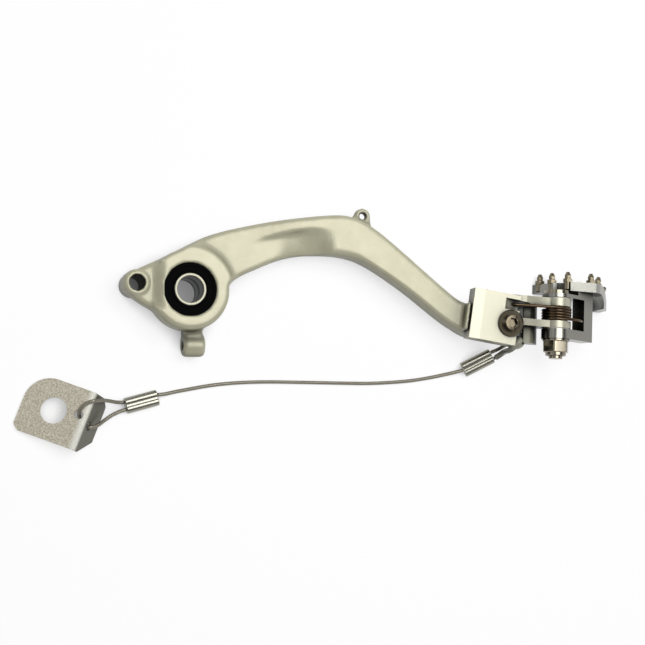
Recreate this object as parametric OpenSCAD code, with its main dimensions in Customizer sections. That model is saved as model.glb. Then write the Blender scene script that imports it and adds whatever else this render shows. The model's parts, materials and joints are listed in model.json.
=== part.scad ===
// Rear brake pedal for an off-road motorcycle: machined arm on two ball bearings,
// folding sprung toe piece with grip studs, and a steel safety cable with its anchor tab.
// The pivot axis is Z with the outboard side up, the toe points along +X,
// and the origin is the middle of the pivot bore.

/* [Pivot hub] */
// Bore for the pivot bolt
pivot_bore_d = 15; // [12:0.5:16]
// Depth of the hub from face to face
hub_depth = 24; // [22:0.5:30]
// Radius of the hub where it shows below the arm
hub_r = 23; // [21:0.5:25]
// Radius of the raised face where the hub runs into the arm
hub_face_r = 25; // [23.5:0.5:26]
// Radius of the boss on the inboard side of the hub
hub_boss_r = 18; // [17:0.5:20]
// Thickness of the pedal body at the hub, from the outboard face
plate_t = 14; // [11:0.5:17]
// Height of the hub face over the arm beside it
hub_step = 4; // [2:0.5:5]

/* [Bearings] */
// Outer diameter of each ball bearing
bearing_od = 28; // [26:0.5:29]
// Width of each ball bearing
bearing_w = 7; // [6:0.5:7.5]
// Space between the two bearings, filled by the spacer
bearing_gap = 4; // [2:0.5:5]
// Wall of the bearing's inner ring
inner_race_t = 1.7; // [1.4:0.1:2.2]
// Wall of the bearing's outer ring
outer_race_t = 1.7; // [1.4:0.1:2]
// Diameter of the bearing balls
ball_d = 3.9; // [3.6:0.1:4.2]
// Number of balls in each bearing
ball_count = 11; // [8:1:12]
// Outer diameter of the rubber dust seals
seal_od = 30; // [29.5:0.5:32]
// Thickness of the rubber dust seals
seal_t = 2.2; // [1.5:0.1:2.4]
// Height of the end collars over the bearing faces
collar_h = 2.6; // [2.4:0.1:2.9]

/* [Push rod lug] */
// Distance of the push rod hole behind the pivot
lug_x = 29.6; // [28:0.2:32]
// Height of the push rod hole over the pivot
lug_y = 3.6; // [0:0.2:6]
// Outer radius of the lug
lug_r = 7.6; // [7:0.2:8.4]
// Hole for the push rod bolt
lug_hole_d = 9; // [6:0.5:10]

/* [Spring lugs] */
// Distance of the return spring lug below the pivot
spring_lug_drop = 30.4; // [29:0.2:32]
// Radius of the return spring lug
spring_lug_r = 6.5; // [5.5:0.1:7]
// Length of the return spring lug along the arm
spring_lug_w = 13; // [12:0.5:16]
// Hole for the return spring
spring_hole_d = 5; // [3:0.5:6]
// Outer radius of the switch spring eye on the arm's top edge
eye_r = 4.6; // [4.2:0.1:5.4]
// Hole in the switch spring eye
eye_hole_d = 4; // [3:0.2:5]
// Thickness of the switch spring eye
eye_t = 5; // [4:0.5:6]

/* [Arm] */
// Width over which the arm's edges are rounded off
edge_r = 2; // [1:0.25:2.5]
// Width of the bevel under the bend of the arm
elbow_bevel = 3.4; // [1:0.2:5]
// Depth of the scoop along the arm's lower edge
scoop_depth = 2.4; // [1:0.1:3.5]
// Height of the shoulder that the toe bracket butts against
shoulder_h = 7; // [4:0.5:8]
// Thickness of the shoulder
shoulder_t = 2.4; // [1.5:0.1:3]

/* [Toe bracket] */
// Angle by which the bracket dips towards the toe
bracket_dip = 9.5; // [6:0.5:12]
// Length of the bracket's plate
bracket_l = 28.5; // [26:0.5:31]
// Height of the bracket's plate
bracket_h = 29.3; // [27:0.5:31]
// Thickness of the bracket's plate
bracket_t = 10; // [8:0.5:12]
// Shank diameter of the bracket screw
bracket_screw_d = 8; // [6:0.5:8]
// Head diameter of the bracket screw
bracket_head_d = 15.6; // [14:0.2:17]
// Hole for the safety cable
cable_hole_d = 6; // [5.8:0.1:7]

/* [Tip hinge] */
// Angle by which the hinge dips towards the toe
tip_dip = 3; // [1:0.5:5]
// Diameter of the hinge bolt
hinge_d = 8; // [6:0.5:8]
// Radius of the ears round the hinge bolt
ear_r = 8.5; // [7.5:0.25:9]
// Thickness of the upper ear
upper_ear_t = 4.6; // [3.5:0.1:5]
// Thickness of the lower ear
lower_ear_t = 4; // [3:0.1:4.5]
// Gap between the ears, which holds the spring
ear_gap = 8.8; // [8.2:0.1:11]
// Thickness of the thrust washers between ears and lugs
thrust_t = 0.6; // [0.4:0.1:1]
// Thickness of the lug over the upper ear
upper_lug_t = 2.2; // [1.8:0.1:2.4]
// Thickness of the lug under the lower ear
lower_lug_t = 5.8; // [4.5:0.1:6.5]
// Diameter of the hinge bolt's low head
hinge_head_d = 15; // [13:0.5:15.5]
// Thickness of the hinge bolt's low head
hinge_head_t = 2.2; // [1.8:0.1:2.3]
// Thickness of the washer under the nut
washer_t = 1.3; // [1:0.1:1.6]
// Width of the nut across its flats
nut_af = 14; // [12:0.5:15]
// Height of the nut's hexagon
nut_h = 6.4; // [5.5:0.1:7]
// Wire diameter of the torsion spring
wire_d = 1.7; // [1.4:0.1:1.8]
// Mean radius of the torsion spring
coil_r = 8.1; // [7.6:0.1:8.4]
// Turns of the torsion spring
coil_turns = 4; // [3:1:4]

/* [Tread] */
// Thickness of the tread plate
tread_t = 5.5; // [5:0.1:6.5]
// Gap from the bolt's head to the tread plate's underside
tread_lift = 0.3; // [0.2:0.1:1]
// Width of the web that joins the two lugs
web_w = 8.5; // [8:0.5:10]
// Radius by which the tread's outer end rolls down
roll_r = 11; // [9:0.5:12]
// Height of a grip stud over the tread
stud_h = 6.2; // [5:0.2:7]
// Width of a stud's hexagon base across its flats
stud_af = 5.2; // [4.5:0.1:6]
// Thread diameter of a stud
stud_d = 4; // [3:0.5:4]

/* [Safety cable] */
// Diameter of the steel rope
rope_d = 2.2; // [1.8:0.1:2.3]
// Outer diameter of the plastic sleeve on the front loop
sleeve_d = 3.4; // [3:0.1:3.6]
// Length of each ferrule
ferrule_l = 19; // [16:0.5:20]
// Width of each ferrule
ferrule_w = 9; // [8.5:0.1:9.5]
// Thickness of each ferrule
ferrule_t = 5; // [4.6:0.1:5.2]

/* [Anchor tab] */
// Length of the tab's plate from its bend
tab_l = 35.5; // [32:0.5:40]
// Width of the tab
tab_w = 34; // [30:0.5:38]
// Angle at which the tab's plate leans on its flange
tab_tilt = 20; // [17:0.5:22]
// Sheet thickness of the tab
tab_t = 1.8; // [1.5:0.1:2.2]
// Hole for the frame bolt
tab_hole_d = 15; // [12:0.5:17]
// Corner radius at the tab's far end
tab_corner_r = 15; // [8:0.5:16]
// Hole for the rope in plate and flange
tab_rope_hole_d = 5.2; // [5:0.1:6]

/* [Hidden] */
$fn = 64;

// Clearances of the fits, on the radius
press_c = 0.01;
run_c = 0.05;
seal_c = 0.1;

face_z = hub_depth / 2;
back_z = face_z - plate_t;
low_z = face_z - hub_step;
table_z = -face_z;
spring_lug_x = -1.8;

inner_race_r = pivot_bore_d / 2 + inner_race_t;
outer_race_r = bearing_od / 2 - outer_race_t;
ball_track_r = (inner_race_r + outer_race_r) / 2;
bearing_z = bearing_gap / 2 + bearing_w / 2;
bearing_face_z = bearing_gap / 2 + bearing_w;

// Places of the arm's top edge and bottom edge, the two ends of each cross-section
arm_sections = [
    [-36.4, 7.6, -37.0, 0.4], [-29.7, 11.1, -28.8, -6.6], [-19.5, 15.9, -19.5, -12.0],
    [-7.0, 22.1, -10.5, -17.4], [1.5, 26.5, 1.0, -19.0], [9.7, 30.4, 13.0, -12.6],
    [18.0, 33.2, 21.6, -1.0], [24.0, 34.9, 25.0, 4.6], [30.0, 36.3, 31.0, 8.8],
    [39.0, 38.3, 39.5, 12.6], [48.0, 40.0, 48.0, 16.3], [57.0, 41.4, 56.5, 19.2],
    [66.2, 42.6, 65.8, 21.0], [78.0, 44.0, 77.0, 21.6], [88.0, 44.7, 85.5, 21.4],
    [95.5, 44.0, 90.5, 20.9], [103.0, 41.2, 95.0, 20.0], [112.0, 35.8, 101.0, 18.2],
    [124.0, 26.4, 112.5, 12.2], [139.8, 13.2, 129.4, 1.0], [154.4, 1.2, 144.6, -10.6],
    [161.4, -3.6, 154.4, -17.6], [167.4, -5.4, 164.4, -23.2], [171.0, -6.0, 168.4, -24.2]];
section_steps = 3;

function lerp(a, b, t) = a + (b - a) * t;
function ramp(x, a, b) = let (t = min(1, max(0, (x - a) / (b - a)))) t * t * (3 - 2 * t);
function curve(p, i, t) =
    let (a = p[max(0, i - 1)], b = p[i], c = p[min(len(p) - 1, i + 1)],
         d = p[min(len(p) - 1, i + 2)])
    0.5 * (2 * b + (c - a) * t + (2 * a - 5 * b + 4 * c - d) * t * t
           + (3 * b - a - 3 * c + d) * t * t * t);
function smooth(p, n) =
    [for (i = [0 : len(p) - 2], k = [0 : n - 1]) curve(p, i, k / n), p[len(p) - 1]];
function unit(v) = v / norm(v);

// Skin of quads between closed rings of equal length, with flat ends
module skin(rings) {
    m = len(rings[0]);
    n = len(rings);
    sides = [for (i = [0 : n - 2], j = [0 : m - 1])
        [i * m + j, i * m + (j + 1) % m, (i + 1) * m + (j + 1) % m, (i + 1) * m + j]];
    ends = [[for (j = [m - 1 : -1 : 0]) j], [for (j = [0 : m - 1]) (n - 1) * m + j]];
    polyhedron([for (r = rings) each r], concat(sides, ends), convexity = 6);
}

// Rings of a tube round a path, carried along without twist
function turned(v, t) = unit(v - (v * t) * t);
function frames(t, i, v) =
    i >= len(t) ? [] : let (w = turned(v, t[i])) concat([w], frames(t, i + 1, w));
function tube_rings(path, r, sides) =
    let (n = len(path),
         t = [for (i = [0 : n - 1]) unit(path[min(n - 1, i + 1)] - path[max(0, i - 1)])],
         start = abs(t[0][2]) < 0.9 ? [0, 0, 1] : [1, 0, 0],
         f = frames(t, 0, turned(start, t[0])))
    [for (i = [0 : n - 1])
        let (u = f[i], w = cross(t[i], u))
        [for (k = [0 : sides - 1])
            path[i] + r * (cos(360 * k / sides) * u + sin(360 * k / sides) * w)]];
module tube(path, r, sides) { skin(tube_rings(path, r, sides)); }

// Hollow tube: the outer skin turns in at each end and runs back as the inner skin
module hollow_tube(path, r_out, r_in, sides) {
    inner = tube_rings(path, r_in, sides);
    rings = concat(tube_rings(path, r_out, sides),
                   [for (i = [len(inner) - 1 : -1 : 0]) inner[i]]);
    n = len(rings);
    polyhedron([for (r = rings) each r],
        [for (i = [0 : n - 1], j = [0 : sides - 1])
            [i * sides + j, i * sides + (j + 1) % sides,
             ((i + 1) % n) * sides + (j + 1) % sides, ((i + 1) % n) * sides + j]],
        convexity = 8);
}

module ring(r_out, r_in, z0, z1) {
    rotate_extrude() translate([r_in, z0]) square([r_out - r_in, z1 - z0]);
}

// One cross-section of the arm: rounded top edge, face with its scoop, bevelled lower edge
function arm_ring(s) =
    let (u = [s[0], s[1]], l = [s[2], s[3]], w = norm(l - u), e = (l - u) / w,
         x = s[0],
         top = low_z + hub_step * ramp(x, 30, 72),
         crease = low_z + hub_step * ramp(x, 60, 84),
         low = low_z + hub_step * ramp(x, 76, 88)
               - scoop_depth * ramp(x, 50, 64) * (1 - ramp(x, 75, 86)),
         bevel = 1.2 + (elbow_bevel - 1.2) * ramp(x, 66, 90) * (1 - ramp(x, 104, 124)),
         p = [[0, back_z + 1], [0, top - edge_r], [0.3 * edge_r, top - 0.3 * edge_r],
              [edge_r, top], [0.34 * w, top], [0.41 * w, crease], [w - bevel, low],
              [w - 0.3 * bevel, low - 0.35 * edge_r], [w, low - edge_r - 0.4 * bevel],
              [w, back_z + 1], [w - 1, back_z], [1, back_z]])
    [for (i = [len(p) - 1 : -1 : 0])
        [u[0] + e[0] * p[i][0], u[1] + e[1] * p[i][0], p[i][1]]];

// Frame of the toe bracket: its origin is the bracket screw's axis
bracket_x = 187.8;
bracket_y = -17.6;
bracket_z = face_z;
bracket_left = -24;
bracket_top = 17;
arm_tongue_r = 6.8;
// Hole for the safety cable, in the lobe under the lower ear
cable_x = 9.3;
cable_y = -7.8;
module in_bracket() { translate([bracket_x, bracket_y, 0]) rotate([0, 0, -bracket_dip]) children(); }

// Frame of the tip hinge: Y runs up the bolt, and the origin is midway between the ears
hinge_x = 220.7;
hinge_y = -11;
hinge_z = 13;
module in_hinge() { translate([hinge_x, hinge_y, hinge_z]) rotate([0, 0, -tip_dip]) children(); }
// A plan outline given in X and Z, as a slab from y0 to y1 up the bolt
module slab(y0, y1) { translate([0, y1, 0]) rotate([90, 0, 0]) linear_extrude(y1 - y0) children(); }
module post(r, y0, y1) { translate([0, y1, 0]) rotate([90, 0, 0]) cylinder(h = y1 - y0, r = r); }

upper_ear_y = ear_gap / 2;
lower_ear_y = -ear_gap / 2;
upper_lug_y = upper_ear_y + upper_ear_t + thrust_t;
lower_lug_y = lower_ear_y - lower_ear_t - thrust_t;
head_y = upper_lug_y + upper_lug_t + run_c;
tread_y = head_y + hinge_head_t + tread_lift;
lower_lug_end_y = lower_lug_y - lower_lug_t;
nut_y = lower_lug_end_y - washer_t;

module pedal_plate() {
    skin([for (s = smooth(arm_sections, section_steps)) arm_ring(s)]);
}

// Disc of the hub with a rounded outboard edge and a slimmer inboard boss
module hub_disc() {
    rotate_extrude($fn = 128) polygon([
        [0, -face_z], [hub_boss_r - 1, -face_z], [hub_boss_r, 1 - face_z],
        [hub_boss_r, back_z - 2], [hub_boss_r + 2, back_z], [hub_r - 1, back_z],
        [hub_r, back_z + 1], [hub_r, face_z - 2.4], [hub_r - 0.7, face_z - 0.7],
        [hub_r - 2.4, face_z], [0, face_z]]);
}

// Space round the push rod lug, with a hollow fillet up to the hub's face
module lug_clearance() {
    floor_r = lug_r + 1.2;
    translate([-lug_x, lug_y, 0]) rotate_extrude($fn = 128) polygon(concat(
        [[0, low_z], [floor_r, low_z]],
        [for (a = [15 : 15 : 75]) [floor_r + hub_step * sin(a), face_z - hub_step * cos(a)]],
        [[floor_r + hub_step, face_z], [floor_r + hub_step, face_z + 3], [0, face_z + 3]]));
    translate([-lug_x - 20, lug_y - 30, low_z]) cube([20, 60, hub_step + 3]);
}

// Raised face that fades into the arm with a hollow fillet
module hub_face() {
    intersection() {
        rotate_extrude($fn = 128) polygon(concat(
            [[0, low_z - 1], [hub_face_r + hub_step, low_z - 1]],
            [for (a = [0 : 15 : 75]) [hub_face_r + hub_step * (1 - sin(a)),
                                      face_z - hub_step * cos(a)]],
            [[hub_face_r - 0.6, face_z], [0, face_z]]));
        translate([0, 0, low_z - 1]) linear_extrude(hub_step + 1)
            polygon([[-18, 0], [-18, 15.5], [-7, 21.2], [1.5, 25.6], [9.7, 29.5],
                     [18, 32.3], [30, 35.4], [30, 10.4], [24.2, 6.4], [20, 0]]);
    }
}

module spring_lug() {
    translate([spring_lug_x, 0, 0]) {
        translate([0, -spring_lug_drop, -4]) rotate([0, 90, 0]) rotate_extrude()
            polygon([[0, 0], [spring_lug_r - 1.2, 0], [spring_lug_r - 0.4, 0.5],
                     [spring_lug_r, 1.4], [spring_lug_r, spring_lug_w - 2],
                     [spring_lug_r - 0.5, spring_lug_w - 0.7], [spring_lug_r - 1.6, spring_lug_w],
                     [0, spring_lug_w]]);
        rotate([90, 0, 90]) translate([0, 0, 0.8]) linear_extrude(spring_lug_w - 2.6)
            polygon([[-16, -11], [-22, -10.6], [-spring_lug_drop, -10.2],
                     [-spring_lug_drop, 1.5], [-24, 1], [-19, 2], [-16, 4]]);
    }
}

module arm_end() {
    in_bracket() {
        translate([bracket_left + 2.2, -9.2, back_z])
            cube([-bracket_left, 17.8, plate_t - 0.02]);
        translate([0, 0, back_z]) cylinder(h = plate_t - 0.02, r = arm_tongue_r);
        translate([bracket_left - shoulder_t - 0.05, -8.2, back_z + 2])
            cube([shoulder_t, 16.6, plate_t - 2 + shoulder_h]);
    }
}

module pedal_arm() {
    color("#cdc9b4") difference() {
        union() {
            pedal_plate();
            difference() {
                union() {
                    hub_disc();
                    hub_face();
                }
                lug_clearance();
            }
            translate([-lug_x, lug_y, 0]) rotate_extrude() polygon([
                [0, -face_z], [lug_r - 1.4, -face_z], [lug_r - 0.6, 1 - face_z],
                [lug_r, back_z], [lug_r, low_z - 1.2], [lug_r - 0.2, low_z - 0.4],
                [lug_r - 0.6, low_z + 0.6], [lug_r - 1.4, low_z + 1], [0, low_z + 1]]);
            spring_lug();
            translate([103.8, 45, 1.5]) cylinder(h = eye_t, r = eye_r);
            translate([0, 0, 1.5]) linear_extrude(eye_t) polygon([
                [100.4, 48], [99.2, 45.6], [96.8, 43.8], [97, 38], [109, 36], [109.6, 37.6],
                [108.6, 40.6], [108.3, 44]]);
            arm_end();
        }
        translate([0, 0, -face_z - 1]) cylinder(h = hub_depth + 2, r = outer_race_r - 0.3);
        for (s = [-1, 1]) scale([1, 1, s]) {
            translate([0, 0, bearing_gap / 2])
                cylinder(h = face_z, r = bearing_od / 2 + press_c);
            translate([0, 0, bearing_face_z]) cylinder(h = face_z, r = seal_od / 2 + press_c);
        }
        translate([-lug_x, lug_y, -face_z - 1]) cylinder(h = hub_depth, d = lug_hole_d);
        translate([spring_lug_x - 1, -spring_lug_drop, -4]) rotate([0, 90, 0])
            cylinder(h = spring_lug_w + 2, d = spring_hole_d);
        translate([103.8, 45, 0]) cylinder(h = eye_t + 4, d = eye_hole_d);
        in_bracket() translate([0, 0, back_z - 1])
            cylinder(h = plate_t + 2, r = bracket_screw_d / 2 + press_c);
    }
}

module race(r_out, r_in, side) {
    difference() {
        ring(r_out, r_in, side * bearing_z - bearing_w / 2, side * bearing_z + bearing_w / 2);
        translate([0, 0, side * bearing_z]) rotate_extrude()
            translate([ball_track_r, 0]) circle(r = ball_d / 2 + 0.02);
    }
}
module outer_ring(side) { color("#8e9094") race(bearing_od / 2, outer_race_r, side); }
module inner_ring(side) { color("#a2a4a8") race(inner_race_r, pivot_bore_d / 2, side); }
module balls(side) {
    color("#c8cacd") for (i = [0 : ball_count - 1])
        rotate([0, 0, 360 * i / ball_count]) translate([ball_track_r, 0, side * bearing_z])
            sphere(r = ball_d / 2, $fn = 32);
}
module ball_cage(side) {
    color("#b08d4f") difference() {
        ring(ball_track_r + 0.5, ball_track_r - 0.5, side * bearing_z - 2.5,
             side * bearing_z + 2.5);
        for (i = [0 : ball_count - 1])
            rotate([0, 0, 360 * i / ball_count])
                translate([ball_track_r, 0, side * bearing_z])
                    sphere(r = ball_d / 2 + run_c, $fn = 32);
    }
}
module outboard_outer_ring() { outer_ring(1); }
module inboard_outer_ring() { outer_ring(-1); }
module outboard_inner_ring() { inner_ring(1); }
module inboard_inner_ring() { inner_ring(-1); }
module outboard_balls() { balls(1); }
module inboard_balls() { balls(-1); }
module outboard_ball_cage() { ball_cage(1); }
module inboard_ball_cage() { ball_cage(-1); }
module bearing_spacer() {
    color("#a2a4a8") ring(inner_race_r, pivot_bore_d / 2, -bearing_gap / 2, bearing_gap / 2);
}
module collar(side) {
    color("#d4d4d2") scale([1, 1, side]) rotate_extrude() polygon([
        [pivot_bore_d / 2, bearing_face_z], [inner_race_r, bearing_face_z],
        [inner_race_r, bearing_face_z + collar_h - 0.3],
        [inner_race_r - 0.3, bearing_face_z + collar_h],
        [pivot_bore_d / 2 + 0.3, bearing_face_z + collar_h],
        [pivot_bore_d / 2, bearing_face_z + collar_h - 0.3]]);
}
module outboard_collar() { collar(1); }
module inboard_collar() { collar(-1); }

// Dust seal: a stepped rubber ring with a raised outer bead and a lip on the collar
module dust_seal(side) {
    lip_r = inner_race_r + seal_c;
    color("#16171a") scale([1, 1, side]) rotate_extrude() polygon([
        [lip_r, bearing_face_z + 0.02], [seal_od / 2, bearing_face_z + 0.02],
        [seal_od / 2, bearing_face_z + seal_t - 0.3], [seal_od / 2 - 0.3, bearing_face_z + seal_t],
        [seal_od / 2 - 1.6, bearing_face_z + seal_t], [seal_od / 2 - 2, bearing_face_z + seal_t - 0.4],
        [lip_r + 1.4, bearing_face_z + seal_t - 0.4], [lip_r + 1, bearing_face_z + seal_t],
        [lip_r, bearing_face_z + seal_t - 0.4]]);
}
module outboard_dust_seal() { dust_seal(1); }
module inboard_dust_seal() { dust_seal(-1); }

// Ear seen along the bolt: a round eye on a neck that thickens into the bracket's plate
module ear(y0, y1) {
    slab(y0, y1) {
        circle(r = ear_r);
        polygon([[-31, -0.9], [-31, 7.6], [-22, 7.4], [-16, 6.2], [-11, 5.6], [0, 5.6],
                 [0, -7], [-25, -7], [-25, -0.9]]);
    }
}
module toe_bracket() {
    color("#d8d6cc") difference() {
        union() {
            in_bracket() {
                translate([bracket_left, bracket_top - bracket_h, bracket_z])
                    cube([bracket_l, bracket_h, bracket_t]);
                translate([arm_tongue_r + 0.4, -3, bracket_z - 7])
                    cube([3.4, bracket_top + 2, 9.4]);
                translate([2, -2.5, bracket_z + 0.1]) cube([arm_tongue_r, bracket_top + 1, 2]);
                translate([cable_x, cable_y, bracket_z - 5])
                    cylinder(h = 5.2, r = cable_hole_d / 2 + 1.8);
                translate([arm_tongue_r + 0.8, cable_y, bracket_z - 4.8]) cube([5.5, 9, 4.8]);
            }
            in_hinge() {
                ear(upper_ear_y, upper_ear_y + upper_ear_t);
                ear(lower_ear_y - lower_ear_t, lower_ear_y);
            }
        }
        in_bracket() {
            translate([0, 0, bracket_z - 1])
                cylinder(h = bracket_t + 2, r = bracket_screw_d / 2 + 0.2);
            translate([cable_x, cable_y, bracket_z - 10]) cylinder(h = 16, d = cable_hole_d);
            // Bright bevel along the plate's left edge
            translate([bracket_left + 6, 0, bracket_z + bracket_t]) rotate([0, -10, 0])
                translate([-20, -30, 0]) cube([20, 60, 5]);
            // Hollow where the spring's long leg rests
            translate([5, 8, bracket_z + bracket_t + 10]) rotate([-90, 0, 0])
                cylinder(h = 6.5, r = 14);
        }
        in_hinge() post(hinge_d / 2 + run_c, -30, 30);
    }
}

module bracket_screw() {
    head_z = bracket_z + bracket_t;
    color("#4c4a46") in_bracket() difference() {
        union() {
            translate([0, 0, head_z]) rotate_extrude() polygon([
                [0, 0.02], [bracket_head_d / 2, 0.02], [bracket_head_d / 2, 1.1],
                [bracket_head_d / 2 - 0.7, 2.1], [bracket_head_d / 2 - 1.9, 3.1],
                [bracket_head_d / 2 - 3.4, 4], [0, 4.5]]);
            translate([0, 0, back_z + 2])
                cylinder(h = bracket_z + bracket_t - back_z - 1.9, d = bracket_screw_d);
        }
        translate([0, 0, head_z + 1.8]) cylinder(h = 4, d = 5.8, $fn = 6);
    }
}

module hinge_bolt() {
    end_y = nut_y - nut_h - 3.8;
    color("#77746e") in_hinge() difference() {
        union() {
            post(hinge_head_d / 2, head_y, head_y + hinge_head_t);
            post(hinge_d / 2, end_y, head_y + 0.1);
        }
        slab(head_y + hinge_head_t - 1.4, head_y + hinge_head_t + 1) circle(d = 5.8, $fn = 6);
    }
}
module hinge_nut() {
    color("#8a857a") in_hinge() difference() {
        union() {
            intersection() {
                slab(nut_y - nut_h, nut_y) circle(d = nut_af / cos(30), $fn = 6);
                post(nut_af / 2 + 0.75, nut_y - nut_h, nut_y);
            }
            post(nut_af / 2 - 0.9, nut_y - nut_h - 2, nut_y - nut_h + 0.5);
        }
        post(hinge_d / 2 + press_c, nut_y - nut_h - 3, nut_y + 1);
        post(hinge_d / 2 + 1.2, nut_y - nut_h - 3, nut_y - nut_h);
    }
}
module nut_nylon_ring() {
    color("#2f4f9a") in_hinge() difference() {
        post(hinge_d / 2 + 1.18, nut_y - nut_h - 1.8, nut_y - nut_h - 0.02);
        post(hinge_d / 2 + press_c, nut_y - nut_h - 3, nut_y);
    }
}
module flat_ring(r_out, r_in, y0, y1) {
    difference() {
        post(r_out, y0, y1);
        post(r_in, y0 - 1, y1 + 1);
    }
}
module nut_washer() {
    color("#9c9a94") in_hinge()
        flat_ring(8, hinge_d / 2 + run_c, nut_y + 0.02, lower_lug_end_y - 0.02);
}
module thrust_washers() {
    color("#e8e6dc") in_hinge() {
        flat_ring(ear_r - 0.5, hinge_d / 2 + run_c, upper_ear_y + upper_ear_t + 0.02,
                  upper_lug_y - 0.03);
        flat_ring(ear_r - 0.5, hinge_d / 2 + run_c, lower_lug_y + 0.03,
                  lower_ear_y - lower_ear_t - 0.02);
    }
}
module spring_bush() {
    color("#b9b7b0") in_hinge()
        flat_ring(coil_r - wire_d / 2 - 0.6, hinge_d / 2 + run_c, lower_ear_y + 0.02,
                  upper_ear_y - 0.02);
}

// Close-wound spring with both legs on the outboard side
coil_pitch = (ear_gap - wire_d - 0.5) / coil_turns;
coil_low = -coil_pitch * coil_turns / 2;
spring_path = concat(
    [[16, coil_low - 0.1, -0.6], [15.2, coil_low - 0.1, 2], [12.6, coil_low, 5],
     [9, coil_low, 7], [4.5, coil_low, coil_r - 0.1]],
    [for (i = [0 : coil_turns * 20])
        let (a = 90 + 18 * i)
        [coil_r * cos(a), coil_low + coil_pitch * i / 20, coil_r * sin(a)]],
    [[-7, -coil_low, coil_r - 0.2], [-15, -coil_low, coil_r - 0.8],
     [-23, -coil_low, coil_r - 1.4], [-30, -coil_low, coil_r - 1.8]]);
module torsion_spring() { color("#5b4a38") in_hinge() tube(spring_path, wire_d / 2, 8); }

// Plan of the lugs and limbs: a round eye and a bar that runs off to the right and inboard
limb_angle = 30;
limb_l = 24;
module limb_plan(from) {
    rotate(-limb_angle) translate([from, ear_r + 0.3 - web_w]) square([limb_l - from, web_w]);
}
module tread_plan() {
    polygon([[4.8, 3], [24, 3], [27.5, 0.4], [35, -9], [39.5, -16], [39.8, -face_z - hinge_z],
             [-5.2, -face_z - hinge_z]]);
}
// Side view of the tread: flat, then rolled down at its outer end
module tread_side() {
    roll_x = 39.8 - roll_r;
    difference() {
        union() {
            translate([-8, tread_y]) square([roll_x + 8, tread_t]);
            translate([roll_x, tread_y + tread_t - roll_r]) circle(r = roll_r);
        }
        translate([roll_x, tread_y + tread_t - roll_r]) circle(r = roll_r - tread_t);
        translate([roll_x - roll_r - 1, tread_y - 30]) square([roll_r + 1, 30]);
        translate([roll_x, tread_y - 30 - 2]) square([roll_r + 9, 24]);
    }
}
// Places of the studs: X along the tread, Z in from the outboard edge, tilt over the roll
stud_places = [[-2.2, -20.6, 0], [1.5, -11.2, 0], [7.6, -1.8, 0], [22.6, -2, 0],
               [30, -11, 10], [35, -21, 44]];
module at_stud(s) {
    roll_x = 39.8 - roll_r;
    y = tread_y + tread_t;
    translate(s[2] == 0 ? [s[0], y, s[1]]
              : [roll_x + roll_r * sin(s[2]), y - roll_r * (1 - cos(s[2])), s[1]])
        rotate([0, 0, -s[2]]) children();
}
module folding_tip() {
    color("#c9c7bf") in_hinge() difference() {
        union() {
            slab(lower_lug_end_y, lower_lug_y) { circle(r = ear_r + 0.3); limb_plan(0); }
            slab(upper_lug_y, head_y - run_c) { circle(r = ear_r + 0.3); limb_plan(0); }
            slab(upper_lug_y, tread_y + 1) limb_plan(9.5);
            slab(lower_lug_end_y, tread_y + 1) limb_plan(limb_l - web_w);
            intersection() {
                slab(tread_y - 20, tread_y + tread_t) tread_plan();
                translate([0, 0, -40]) linear_extrude(60) tread_side();
            }
        }
        post(hinge_d / 2 + run_c, -30, 30);
        post(hinge_head_d / 2 + 0.5, head_y - run_c, 40);
        for (s = stud_places) at_stud(s) post(stud_d / 2 + press_c, -tread_t + 1, 1);
        // Window through the middle of the tread
        slab(tread_y - 1, tread_y + tread_t + 1)
            polygon([[14, -7], [22, -7], [28.5, -17.5], [6, -17.5]]);
    }
}
module grip_studs() {
    color("#8d8778") in_hinge() for (s = stud_places) at_stud(s) {
        post(stud_d / 2, -tread_t + 1.4, 0.1);
        slab(0.02, 2.1) circle(d = stud_af / cos(30), $fn = 6);
        translate([0, 2, 0]) rotate([-90, 0, 0]) cylinder(h = 0.6, d = 2.6);
        translate([0, 2.5, 0]) rotate([-90, 0, 0]) cylinder(h = 1.6, d = 4, $fn = 6);
        translate([0, 4.1, 0]) rotate([-90, 0, 0]) cylinder(h = stud_h - 4.1, d1 = 3.9, d2 = 2);
    }
}

// Rope between the ferrules, lying on the ground
rope_z = table_z + rope_d / 2;
rope_route = [
    [-14.9, -58, -9.5], [-10, -57.4, -10.2], [-4, -56.1, -10.8], [4, -54.6, -10.9],
    [14, -52.8, -10.9], [24, -51.5, -10.9], [36, -50.6, -10.9], [50, -50.2, -10.9],
    [66, -50.3, -10.9], [82, -50.5, -10.9], [98, -50.7, -10.9], [112, -50.7, -10.9],
    [126, -50, -10.9], [138, -48.9, -10.9], [150, -47, -10.9], [158, -45.4, -10.6],
    [164, -44.1, -10], [169.2, -42.8, -9.2]];
front_loop_route = [
    [187.3, -36, -4.2], [189.4, -34.8, -3], [190.7, -33.5, -0.4], [191.2, -32.6, 3],
    [191.1, -32.4, 7], [191.1, -32.3, 10.8], [191.9, -31.3, 14.4], [194, -28.9, 16.4],
    [195.7, -27.2, 16.2], [196.4, -26.4, 13.8], [196.5, -26.2, 10.6], [196.9, -25.9, 7],
    [196.9, -26, 3.8], [195.2, -27.2, 0.6], [192.4, -29, -1.6], [189.4, -30.7, -2.8],
    [185.5, -32.4, -4.3]];
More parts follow.
